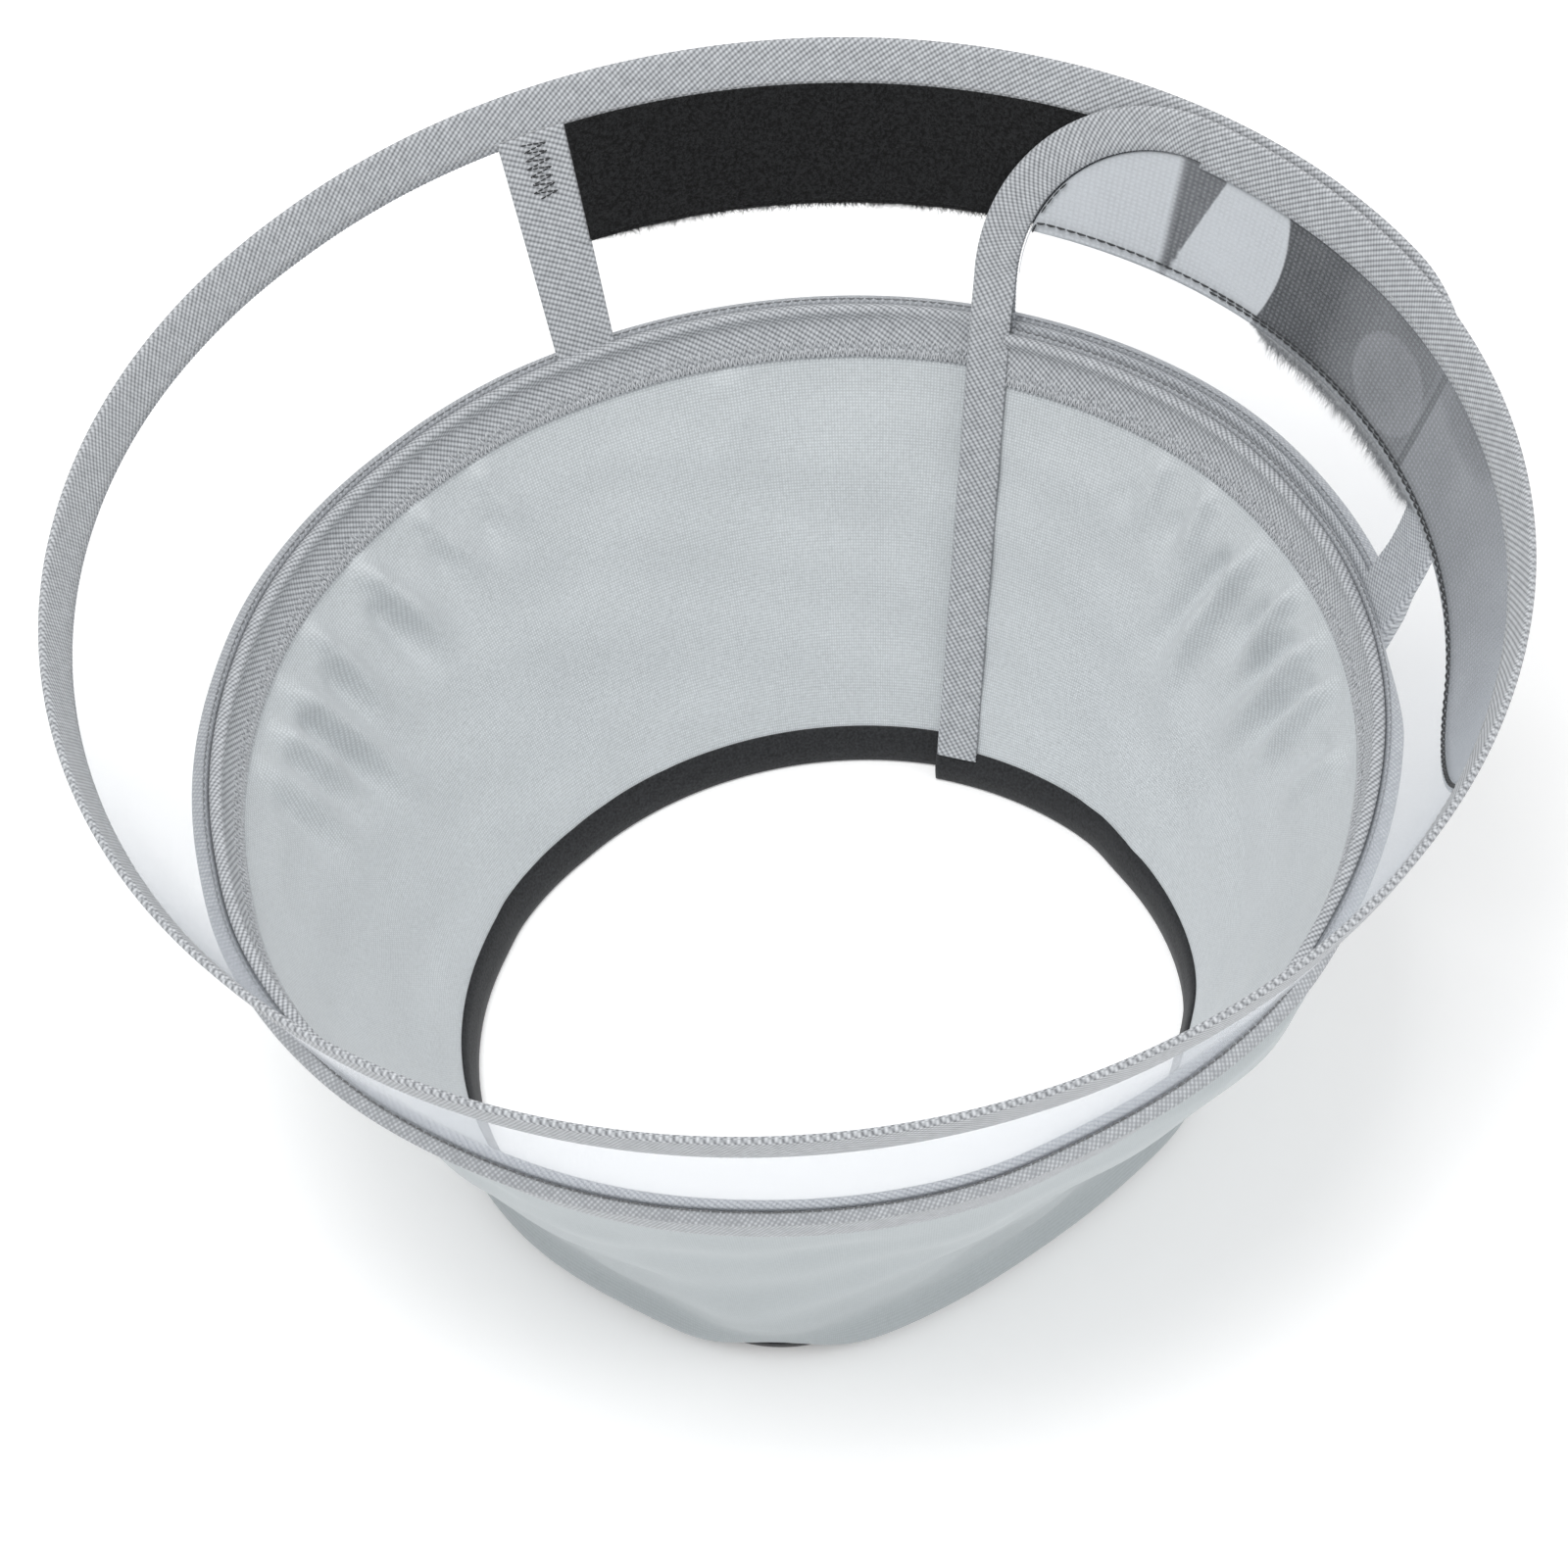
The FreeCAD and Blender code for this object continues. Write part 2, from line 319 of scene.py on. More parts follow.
def ring(name, turns, section, materials, sign=1):
    """A band round the sheet, on the face given by sign. The section is a closed loop of (slant, offset,
    extra offset where there is room)."""
    slant = np.array([row[0] for row in section])
    offset = np.array([row[1] for row in section])[None, :]
    extra = np.array([row[2] for row in section])[None, :]
    placed = surface(turns[:, None], slant[None, :], offset + extra * bead_room(turns, sign)[:, None])
    along = turns * (BASE_R + slant.mean() * SIN)
    length = np.concatenate([[0], np.cumsum(np.hypot(np.diff(slant), np.diff((offset + extra)[0])))])
    across = length if sign < 0 else length[-1] - length
    uv = np.stack(np.broadcast_arrays(along[:, None], across[None, :]), -1)
    return tube(name, placed, uv, materials)


def panel(name, turns, low, high, rows, inner, outer, materials, tone=None, capped=True):
    """A closed sheet between two edges. low and high give the slant at each turn, inner and outer
    the offset of its two faces at each place. tone, if given, is stored for the material."""
    share = np.linspace(0, 1, rows)[None, :]
    bottom = low(turns)[:, None]
    slant = bottom + share * (high(turns)[:, None] - bottom)
    turn = np.broadcast_to(turns[:, None], slant.shape)
    loop_turn = np.concatenate([turn, turn[:, ::-1]], 1)
    loop_slant = np.concatenate([slant, slant[:, ::-1]], 1)
    offset = np.concatenate([inner(turn, slant), outer(turn, slant)[:, ::-1]], 1)
    placed = surface(loop_turn, loop_slant, offset)
    along = loop_turn * SEAM_R
    uv = np.stack([along, loop_slant], -1)
    columns = 2 * rows
    faces = loop_faces(len(turns), columns)[:-2]
    sharp = []
    for base, flip in ((0, True), ((len(turns) - 1) * columns, False)):
        for row in range(rows - 1 if capped else 0):
            quad = (base + row, base + row + 1, base + columns - row - 2, base + columns - row - 1)
            sharp.append(len(faces))
            faces.append(quad[::-1] if flip else quad)
    piece = make_mesh(name, placed, faces, uv, materials, sharp)
    if tone is not None:
        store = piece.data.attributes.new("tone", "FLOAT", "POINT")
        store.data.foreach_set("value", tone(loop_turn, loop_slant).astype(np.float32).ravel())
    return piece


def threads(name, starts, ends, outwards, radius, material):
    """One short rounded stitch from each start to each end, bowed a little out of the cloth."""
    rings, sides = 5, 6
    share = np.linspace(0, 1, rings)[None, :, None]
    middle = starts[:, None, :] * (1 - share) + ends[:, None, :] * share
    arch = np.sin(math.pi * share)
    middle = middle + outwards[:, None, :] * radius * (arch - 0.35)
    forward = ends - starts
    forward = forward / np.linalg.norm(forward, axis=1)[:, None]
    aside = np.cross(forward, outwards)
    aside = aside / np.linalg.norm(aside, axis=1)[:, None]
    angle = (np.arange(sides) * 2 * math.pi / sides)[None, None, :, None]
    width = (radius * (0.5 + 0.5 * arch))[:, :, None]
    spokes = aside[:, None, None, :] * np.cos(angle) + outwards[:, None, None, :] * np.sin(angle)
    points = middle[:, :, None, :] + spokes * width
    single = loop_faces(rings, sides)
    faces = []
    for index in range(len(starts)):
        first = index * rings * sides
        faces += [tuple(first + corner for corner in face) for face in single]
    return make_mesh(name, points, faces, points.reshape(-1, 3)[:, :2], [material])


def inward(turn, slant, offset):
    """Unit direction into the cone at places on the sheet."""
    away = surface(turn, slant, offset - MM) - surface(turn, slant, offset)
    return away / np.linalg.norm(away, axis=-1)[..., None]


def stitches(name, turn, slant, offset, length, radius, material):
    """Sewing thread along a line on the sheet: one rounded stitch after another."""
    points = surface(turn, slant, offset)
    along = np.concatenate([[0], np.cumsum(np.linalg.norm(np.diff(points, axis=0), axis=1))])
    normal = inward(turn, slant, offset)
    begin = np.arange(int(along[-1] / length)) * length

    def at(values, place):
        return np.stack([np.interp(place, along, values[:, axis]) for axis in range(3)], -1)

    starts = at(points, begin + 0.06 * length)
    ends = at(points, begin + 0.92 * length)
    return threads(name, starts, ends, at(normal, begin + 0.5 * length), radius, material)


def slanting(name, turns, low, high, swing, offset, radius, material):
    """A row of stitches across a tape, each from low to high slant, leaning to and fro by swing."""
    lean = np.where(np.arange(len(turns)) % 2 == 0, swing, -swing) / SEAM_R
    starts = surface(turns - lean, low, offset)
    ends = surface(turns + lean, high, offset)
    return threads(name, starts, ends, inward(turns, low, offset), radius, material)


# ---------------------------------------------------------------- materials
class Material:
    """A material, with short ways to add nodes to it."""

    def __init__(self, name):
        self.material = bpy.data.materials.new(name)
        self.material.use_nodes = True
        self.nodes = self.material.node_tree.nodes
        self.link = self.material.node_tree.links.new
        self.shader = self.nodes["Principled BSDF"]

    def compute(self, operation, first, second=None):
        node = self.nodes.new("ShaderNodeMath")
        node.operation = operation
        for socket, value in zip(node.inputs, (first, second)):
            if isinstance(value, (int, float)):
                socket.default_value = value
            elif value is not None:
                self.link(value, socket)
        return node.outputs[0]

    def add(self, first, second):
        return self.compute("ADD", first, second)

    def times(self, first, second):
        return self.compute("MULTIPLY", first, second)

    def sheet_axes(self):
        """Distances along and across a piece, in millimetres."""
        uv = self.nodes.new("ShaderNodeUVMap")
        uv.uv_map = "sheet"
        split = self.nodes.new("ShaderNodeSeparateXYZ")
        self.link(uv.outputs[0], split.inputs[0])
        return self.times(split.outputs[0], 1000.0), self.times(split.outputs[1], 1000.0)

    def wave(self, along, across, along_rate, across_rate):
        """0 to 1 ridges, with so many turns per millimetre in each direction."""
        first = self.times(along, along_rate * 2 * math.pi)
        second = self.times(across, across_rate * 2 * math.pi)
        swing = self.compute("SINE", self.add(first, second))
        return self.add(self.times(swing, 0.5), 0.5)

    def noise(self, scale, detail=3.0):
        """Noise over the object's own coordinates, in metres."""
        place = self.nodes.new("ShaderNodeTexCoord")
        node = self.nodes.new("ShaderNodeTexNoise")
        node.inputs["Scale"].default_value = scale
        node.inputs["Detail"].default_value = detail
        self.link(place.outputs["Object"], node.inputs["Vector"])
        return node.outputs["Fac"]

    def colour(self, value, stops):
        """Colours the surface by a value, from (position, colour) stops."""
        node = self.nodes.new("ShaderNodeValToRGB")
        elements = node.color_ramp.elements
        while len(elements) < len(stops):
            elements.new(0.5)
        for element, (position, colour) in zip(elements, stops):
            element.position = position
            element.color = (*colour, 1)
        self.link(value, node.inputs[0])
        self.link(node.outputs[0], self.shader.inputs["Base Color"])

    def bump(self, height, distance, strength):
        node = self.nodes.new("ShaderNodeBump")
        node.inputs["Distance"].default_value = distance
        node.inputs["Strength"].default_value = strength
        self.link(height, node.inputs["Height"])
        self.link(node.outputs[0], self.shader.inputs["Normal"])

    def cloth(self, roughness, sheen):
        """Sets a matt, slightly fuzzy finish, and gives the finished material."""
        self.shader.inputs["Roughness"].default_value = roughness
        self.shader.inputs["Sheen Weight"].default_value = sheen
        self.shader.inputs["Sheen Roughness"].default_value = 0.5
        self.shader.inputs["Specular IOR Level"].default_value = 0.25
        return self.material


def tape_material(name, rib_rate, yarn_rate, shade, wear):
    """Woven twill binding: slanting ribs that meet in a V at the fold, crossed by yarn. The rates are turns
    per millimetre along and across the tape, shade is how light the gaps in the weave are, and wear is the
    share of uneven, rubbed colour."""
    look = Material(name)
    along, across = look.sheet_axes()
    mirrored = look.compute("ABSOLUTE", across)
    ribs = look.compute("POWER", look.wave(along, mirrored, *rib_rate), 0.6)
    yarn = look.wave(along, mirrored, *yarn_rate)
    knots = look.add(look.times(ribs, 0.64), look.times(yarn, 0.36))
    mixed = look.add(look.times(knots, 0.9 - wear), look.times(look.noise(420.0), wear))
    look.colour(mixed, [(0.15, (shade, 1.04 * shade, 1.1 * shade)), (0.48, (0.375, 0.39, 0.41)),
                        (0.85, (0.70, 0.72, 0.75))])
    look.bump(knots, 0.3 * MM, 0.7)
    return look.cloth(0.75, 0.15)


def cloth_material(name, light, dark, thread_rate, depth):
    """Fine plain weave."""
    look = Material(name)
    along, across = look.sheet_axes()
    warp = look.wave(along, across, thread_rate, 0.0)
    weft = look.wave(along, across, 0.0, thread_rate)
    grid = look.times(warp, weft)
    cloudy = look.times(look.noise(30.0, 2.0), 0.15)
    slub = look.times(look.noise(900.0, 1.0), 0.4)
    look.colour(look.add(look.times(grid, 0.5), look.add(cloudy, slub)), [(0.1, dark), (0.75, light)])
    look.bump(grid, depth, 0.5)
    return look.cloth(0.62, 0.2)


def film_material():
    """Clear flexible film: nearly invisible face on, whiter and glossier at a glancing angle."""
    look = Material("clear_film")
    look.shader.inputs["Base Color"].default_value = (0.60, 0.643, 0.71, 1)
    look.shader.inputs["Roughness"].default_value = 0.12
    look.shader.inputs["Specular IOR Level"].default_value = 0.6
    facing = look.nodes.new("ShaderNodeLayerWeight")
    facing.inputs["Blend"].default_value = 0.5
    glancing = look.compute("POWER", facing.outputs["Facing"], 5.0)
    veil = look.add(look.times(look.noise(14.0, 2.0), 0.03), 0.03)
    look.link(look.add(look.times(glancing, 0.8), veil), look.shader.inputs["Alpha"])
    return look.material


def pile_material():
    """Charcoal loop pile: matt, with light-catching specks."""
    look = Material("loop_pile")
    mixed = look.times(look.noise(1700.0, 2.0), look.noise(800.0, 2.0))
    look.colour(mixed, [(0.17, (0.001, 0.0011, 0.0013)), (0.33, (0.0135, 0.0142, 0.0153))])
    look.bump(mixed, 0.9 * MM, 1.0)
    return look.cloth(0.95, 0.12)


def strip_material():
    """Hook strip on its backing: pale cloth with soft darker patches from the stored tone."""
    look = Material("hook_strip")
    along, across = look.sheet_axes()
    grid = look.times(look.wave(along, across, 0.0, 0.7), look.wave(along, across, 0.6, 0.0))
    tone = look.nodes.new("ShaderNodeAttribute")
    tone.attribute_name = "tone"
    weave = look.times(look.add(grid, look.noise(700.0, 2.0)), 0.2)
    weave = look.add(weave, look.times(look.noise(45.0, 1.0), 0.2))
    mixed = look.add(tone.outputs["Fac"], look.add(weave, -0.24))
    look.colour(mixed, [(0.0, (0.032, 0.033, 0.0355)), (0.5, (0.29, 0.30, 0.315)), (1.0, (0.60, 0.625, 0.65))])
    look.bump(grid, 0.15 * MM, 0.4)
    return look.cloth(0.5, 0.1)


def plain_cloth(name, colour, vary):
    """Thread or narrow edging, with a little variation in its colour."""
    look = Material(name)
    grain = look.noise(1200.0, 2.0)
    dark = tuple(channel * (1 - vary) for channel in colour)
    light = tuple(min(1.0, channel * (1 + vary)) for channel in colour)
    look.colour(grain, [(0.3, dark), (0.7, light)])
    look.bump(grain, 0.2 * MM, 0.6)
    return look.cloth(0.75, 0.15)


TAPE_CLOTH = tape_material("binding_tape", (0.36, 0.49), (0.68, -0.38), 0.17, 0.3)
SEAM_CLOTH = tape_material("seam_tape", (0.66, 0.34), (0.40, -0.55), 0.31, 0.42)
LINING = cloth_material("lining_cloth", (0.70, 0.735, 0.755), (0.42, 0.445, 0.46), 0.95, 0.1 * MM)
COVER = cloth_material("cover_cloth", (0.49, 0.53, 0.545), (0.385, 0.42, 0.435), 1.2, 0.05 * MM)
FILM = film_material()
PILE = pile_material()
STRIP = strip_material()
NECK_CLOTH = plain_cloth("neck_tape", (0.02, 0.021, 0.023), 0.5)
DARK_THREAD = plain_cloth("dark_thread", (0.045, 0.047, 0.05), 0.4)
GREY_THREAD = plain_cloth("grey_thread", (0.40, 0.41, 0.42), 0.25)
# Dark thread for the stitches in the groove between the seam tapes: real stitches, coloured darker to paint the
# groove's shade as well.
SHADOW_THREAD = plain_cloth("shadow_thread", (0.17, 0.175, 0.18), 0.4)
PALE_THREAD = plain_cloth("pale_thread", (0.50, 0.515, 0.535), 0.25)


def fix_right(piece):
    """The flap's side of the front, which on the real collar bends where the flap swings: here its transform is
    only baked into its points.
    """
    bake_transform(piece)


def fix_left(piece):
    """The tail's side of the front, which on the real collar bends where the tail swings: here its transform is
    only baked into its points.
    """
    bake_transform(piece)


def open_split(*pieces):
    """Takes off the flat end faces where the right and left pieces of a layer meet. They would show there as
    a thin dark line."""
    for piece in pieces:
        shell = bmesh.new()
        shell.from_mesh(piece.data)
        ends = []
        for face in shell.faces:
            centre = face.calc_center_median()
            past = math.remainder(math.atan2(centre.y, centre.x) - (FLAP_END - TURN_SPLIT), 2 * math.pi)
            if not face.smooth and abs(past) < 6 * DEG:
                ends.append(face)
        bmesh.ops.delete(shell, geom=ends, context="FACES_ONLY")
        shell.to_mesh(piece.data)
        shell.free()


def halves(layer, build, nodes):
    """Builds one continuous layer as its right and left pieces. nodes are the CAD nodes it stands for,
    as endings of their names."""
    right = build(f"{layer}_right", 0.0, TURN_SPLIT)
    left = build(f"{layer}_left", TURN_SPLIT, TURN_END)
    open_split(right, left)
    for piece, fix, body in ((right, fix_right, "flap"), (left, fix_left, "tail")):
        fix(piece)
        for node in nodes:
            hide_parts(f"{body}_{node}", f"front_{node}")
    return right, left


def turns_between(first, last, spacing, margin=0.0):
    """Turns from one to another, about this far apart at the seam's radius. margin is the turn left free at
    either end of the sheet."""
    begin = max(first, margin)
    finish = min(last, TURN_END - margin)
    return np.linspace(begin, finish, max(3, int((finish - begin) * SEAM_R / spacing) + 1))


def with_corners(first, last, spacing, inset):
    """Turns that start at the bound edge and are closer together round the rounded corners."""
    start = end_turn(inset)
    turns = turns_between(first, last, spacing, start)
    extra = start + (TURN_CORNER - start) * (1 - np.cos(np.linspace(0, math.pi / 2, 40)))
    if first < TURN_CORNER:
        turns = np.concatenate([extra, turns[turns > extra[-1]]])
    if last > TURN_END - TURN_CORNER:
        turns = np.concatenate([turns[turns < TURN_END - extra[-1]], TURN_END - extra[::-1]])
    return turns


# ---------------------------------------------------------------- film
def build_film(name, first, last):
    turns = with_corners(first, last, 3 * MM, SHEET_INSET)
    return panel(name, turns, level(FILM_LOW), lambda turn: top_edge(turn, SHEET_INSET), 34,
                 level(-FILM_HALF), level(FILM_HALF), [FILM], capped=False)


halves("film", build_film, ["film"])

# ---------------------------------------------------------------- padded band
# Puckers that run down from the seam: turn in degrees and slant in mm at the upper end, the same at the
# lower end, then half width and height in mm.
PUCKERS = [
    (25, 147, 23, 112, 3.0, 1.3),
    (31.5, 147, 30.3, 108, 3.0, 1.8),
    (41, 147, 33, 62, 4.0, 3.4),
    (48.5, 147, 44.5, 92, 3.0, 2.6),
    (56, 146, 46.5, 68, 3.8, 2.9),
    (62, 144, 54.5, 74, 3.4, 2.6),
    (72, 142, 64, 86, 4.2, 1.8),
    (258, 146, 263.5, 84, 4.0, 1.7),
    (264, 143, 269.5, 88, 3.4, 2.2),
    (269, 147, 278.5, 64, 3.6, 2.8),
    (277, 148, 281.5, 94, 3.2, 2.2),
    (286.5, 149, 294, 92, 3.8, 3.0),
    (296, 149, 302, 108, 3.4, 1.6),
    (305, 148, 308, 112, 3.4, 1.3),
    (334, 147, 336, 118, 4.5, 0.8),
]


def pucker_depth(turn, slant):
    """How far the cloth stands proud at each place, from all the puckers."""
    radius = BASE_R + 0.11 * SIN
    total = 0 * turn
    for top_turn, top_slant, low_turn, low_slant, width, depth in PUCKERS:
        x0, y0 = top_turn * DEG * radius, top_slant * MM
        x1, y1 = low_turn * DEG * radius, low_slant * MM
        length = math.hypot(x1 - x0, y1 - y0)
        ahead = ((turn * radius - x0) * (x1 - x0) + (slant - y0) * (y1 - y0)) / length
        aside = ((turn * radius - x0) * (y1 - y0) - (slant - y0) * (x1 - x0)) / length
        share = np.clip(ahead / length, 0, 1)
        spread = width * MM * (0.95 + 1.0 * share)
        ends = smooth(share, 0, 0.22) * (1 - smooth(share, 0.5, 1.05))
        valley = 0.6 * (1 - smooth(slant, 122 * MM, 134 * MM)) * hump(aside, 1.5 * spread, 0.9 * spread)
        profile = hump(aside, 0, spread) - valley
        total = total + 2.2 * depth * MM * ends * profile
    return total


def dents(turn, slant):
    """Broad soft dents all over the padding."""
    drift = (np.sin(turn * 9 + 12 * slant / 0.1) * np.sin(slant * 62 + 1.3 * turn)
             + 0.6 * np.sin(turn * 17 - slant * 30 + 2) * np.sin(slant * 38 + 0.4))
    return 0.8 * MM * drift * smooth(slant, 15 * MM, 40 * MM) * (1 - smooth(slant, 110 * MM, 136 * MM))


def pad_half(turn, slant):
    """Half thickness of the padding: full in the middle and thin where it is stitched."""
    rise = smooth(slant, NECK_TOP - 2 * MM, NECK_TOP + 16 * MM) * (1 - smooth(slant, 122 * MM, 137 * MM))
    from_end = np.minimum(turn, TURN_END - turn) * (BASE_R + slant * SIN)
    rise = rise * smooth(from_end, 8 * MM, 30 * MM)
    return SEAM_HALF + (PAD_HALF - SEAM_HALF) * rise


def pad_inner(turn, slant):
    return -pad_half(turn, slant) - pucker_depth(turn, slant) + dents(turn, slant)


def pad_outer(turn, slant):
    """The cover rolls over the neck binding, except at the lowest point of the front, and bulges below the
    seam at the front right."""
    roll = 7.4 * MM * (1 - 0.95 * hump(turn, FLAP_END + 103 * DEG, 9 * DEG)) * hump(slant, 10 * MM, 5.5 * MM)
    from_end = np.minimum(turn, TURN_END - turn) * BASE_R
    roll = roll * smooth(from_end, 10 * MM, 60 * MM)
    pucker = pucker_depth(turn, slant)
    follow = 0.1 * np.clip(pucker, 0, None) - np.clip(pucker, None, 0)
    bulge = 6.5 * MM * hump(turn, FLAP_END + 36 * DEG, 20 * DEG)
    bulge = bulge * smooth(slant, 85 * MM, 120 * MM) * (1 - smooth(slant, 134 * MM, 147 * MM))
    return pad_half(turn, slant) + follow + 1.6 * dents(turn, slant) + roll + bulge


def build_pad(name, first, last):
    turns = turns_between(first, last, 1.25 * MM, end_turn(SHEET_INSET))
    rows = 124
    piece = panel(name, turns, level(PAD_LOW), level(PAD_TOP), rows, pad_inner, pad_outer, [LINING, COVER])
    columns = 2 * rows
    chosen = np.zeros(len(piece.data.polygons), np.int32)
    quads = np.arange((len(turns) - 1) * columns)
    chosen[quads] = quads % columns >= rows
    piece.data.polygons.foreach_set("material_index", chosen)
    return piece


for pad in halves("padded_band", build_pad, ["lining", "padding", "outer_cover"]):
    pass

# ---------------------------------------------------------------- binding tape round the edge
PICOT = 1.35 * MM                       # spacing and depth of the small scallops on the tape's free edges
PICOT_DEPTH = 0.12 * MM
TAIL_WIDTH = 24 * MM                    # the tail's end is bound with wider tape
EDGE_SPACING = 0.36 * MM                # between cross-sections of the binding


def fold_section(width_inside, width_outside):
    """Tape folded over an edge: its face from the inner flange over the fold to the outer flange, then
    its back."""
    section = [(width_inside - 0.1 * MM, -1, 0.35), (width_inside - 0.4 * MM, -1, 0.85)]
    for share in (0.78, 0.55, 0.32, 0.16):
        section.append((width_inside * share, -1, 1.0 + 0.22 * math.sin(math.pi * share)))
    fold = 1.2 * MM
    for step in range(7):
        angle = -90 * DEG + step * 30 * DEG
        section.append((fold * (1 - math.cos(angle)), math.sin(angle), 1.05))
    for share in (0.16, 0.32, 0.55, 0.78):
        section.append((width_outside * share, 1, 1.0 + 0.22 * math.sin(math.pi * share)))
    section += [(width_outside - 0.4 * MM, 1, 0.85), (width_outside - 0.1 * MM, 1, 0.35)]
    section += [(width_outside - 0.5 * MM, 1, 0.0), (width_outside * 0.5, 1, 0.0), (1.5 * MM, 1, 0.0)]
    section += [(1.0 * MM, 0, 0.0)]
    section += [(1.5 * MM, -1, 0.0), (width_inside * 0.5, -1, 0.0), (width_inside - 0.5 * MM, -1, 0.0)]
    return section


def end_core(slant):
    """Half thickness of what an end binding is folded over: padding low down, film high up."""
    return FILM_FACE + (SEAM_HALF + 0.8 * MM - FILM_HALF) * (1 - smooth(slant, 168 * MM, 182 * MM))


edge = outline(EDGE_SPACING)
edge_turn, edge_slant = wrapped(edge[0])
rim_start = int(np.argmax((edge_slant > SLANT - 0.01 * MM) & (edge_turn > TURN_CORNER)))
rim_split = int(np.argmax(edge_turn > TURN_SPLIT))
rim_end = int(np.argmax(edge_turn > TURN_END - TURN_CORNER))
RIM_SECTION = fold_section(RIM_WIDTH, RIM_WIDTH + 1 * MM)
FLAP_SECTION = fold_section(RIM_WIDTH - 2 * MM, RIM_WIDTH - 2 * MM)
TAIL_SECTION = fold_section(TAIL_WIDTH, TAIL_WIDTH)

rim_right = swept("rim_binding_right", part_of(edge, rim_start, rim_split + 1), RIM_SECTION)
rim_left = swept("rim_binding_left", part_of(edge, rim_split, rim_end + 1), RIM_SECTION)
flap_end = swept("end_binding_flap", part_of(edge, 0, rim_start + 1), FLAP_SECTION, end_core)
tail_end = swept("end_binding_tail", part_of(edge, rim_end, None), TAIL_SECTION, end_core)
open_split(rim_right, rim_left)
fix_right(rim_right)
fix_left(rim_left)
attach(flap_end, "flap")
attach(tail_end, "tail")
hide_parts("front_rim_binding", "flap_rim_binding")
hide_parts("front_rim_binding", "tail_rim_binding")
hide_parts("flap_end_binding")
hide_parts("tail_end_binding")

# ---------------------------------------------------------------- seam tapes
def seam_section(sign, low, high, bead):
    """Flat tape with a rough lower edge, a sewn line across its middle and a rounded upper edge that closes on
    the film. sign is -1 for the inner face of the cone and 1 for the outer; bead is how far the upper edge
    stands out."""
    middle = 0.5 * (low + high) + 0.5 * MM
    close = (FILM_FACE - SEAM_NEAR) / TAPE
    profile = [
        (low, 0.05, 0), (low - 0.3 * MM, 0.4, 0), (low + 0.6 * MM, 0.8, 0), (low + 3.4 * MM, 0.85, 0),
        (middle - 0.8 * MM, 0.95, 0), (middle, 0.88, 0), (middle + 0.8 * MM, 0.98, 0),
        (high - 5 * MM, 1.1, 0), (high - 3.6 * MM, 1.3, 0.5), (high - 2.4 * MM, 1.45, 0.9),
        (high - 1.2 * MM, 1.45, 1), (high - 0.4 * MM, 1.1, 0.85), (high - 0.1 * MM, 0.6, 0.5), (high, 0.0, 0.2),
        (high - 0.1 * MM, 0.8 * close, 0), (high - 1.2 * MM, close, 0), (PAD_TOP + 0.6 * MM, close, 0),
        (PAD_TOP + 0.2 * MM, 0.0, 0), (low + 6 * MM, 0.0, 0),
    ]
    section = []
    for slant, rise, share in profile:
        section.append((slant, sign * (SEAM_NEAR + rise * TAPE), sign * share * bead))
    return section if sign < 0 else section[::-1]


def build_seam(sign, low, high, bead, cloth):
    def build(name, first, last):
        turns = turns_between(first, last, 1.0 * MM, SEAM_INSET)
        return ring(name, turns, seam_section(sign, low, high, bead), [cloth], sign)
    return build


SEAM_INSET = (RIM_WIDTH - 4 * MM) / (BASE_R + SEAM_LOW * SIN)
OUTER_LOW = SEAM_LOW - 9 * MM
OUTER_HIGH = SEAM_HIGH + 1 * MM
for seam, build in (("seam_tape_inner", build_seam(-1, SEAM_LOW, SEAM_HIGH, 2.0 * MM, TAPE_CLOTH)),
                    ("seam_tape_outer", build_seam(1, OUTER_LOW, OUTER_HIGH, 3.6 * MM, SEAM_CLOTH))):
    halves(seam, build, [seam])

# ---------------------------------------------------------------- neck binding
def build_neck(name, first, last):
    """Folded black edging. Its foot is flat on the resting plane."""
    near = SEAM_NEAR
    profile = [
        (NECK_TOP, -near), (NECK_TOP - 0.4 * MM, -near - 0.8 * TAPE), (10 * MM, -near - 1.1 * TAPE),
        (6.2 * MM, -near - 1.0 * TAPE), (4.7 * MM, -near - 0.6 * TAPE), (2.6 * MM, -0.8 * MM),
        (1.0 * MM, -0.1 * MM), (0.55 * MM, 0.7 * MM), (0.75 * MM, 1.5 * MM), (2.0 * MM, 1.75 * MM),
        (4.5 * MM, near + 0.9 * TAPE), (6.6 * MM, near + 0.9 * TAPE), (7.4 * MM, near + 0.4 * TAPE),
        (6.4 * MM, near), (5.6 * MM, 0.9 * MM), (5.6 * MM, -0.9 * MM), (10 * MM, -near),
    ]
    turns = turns_between(first, last, 2.5 * MM)
    return ring(name, turns, [(slant, offset, 0) for slant, offset in profile], [NECK_CLOTH])


halves("neck_binding", build_neck, ["neck_binding"])

# ---------------------------------------------------------------- closure strips
STRIP_END = FLAP_END + 33 * DEG
STRIP_TOP_INSET = RIM_WIDTH - 1.5 * MM
STRIP_CORNER = 76 * MM
HOOK_THICK = 0.6 * MM
PILE_THICK = 1.5 * MM


def strip_high(turn):
    """Upper edge of both strips, hidden by the rim's binding."""
    return top_edge(turn, STRIP_TOP_INSET)


def strip_low(turn):
    """Lower edge of the hook strip, which curves up to the rim at its far end."""
    left = np.clip((STRIP_END - turn) * STRIP_R, 0, STRIP_CORNER)
    rise = STRIP_CORNER - np.sqrt(np.clip(STRIP_CORNER ** 2 - (STRIP_CORNER - left) ** 2, 0, None))
    return np.minimum(STRIP_LOW + rise, strip_high(turn) - 0.5 * MM)


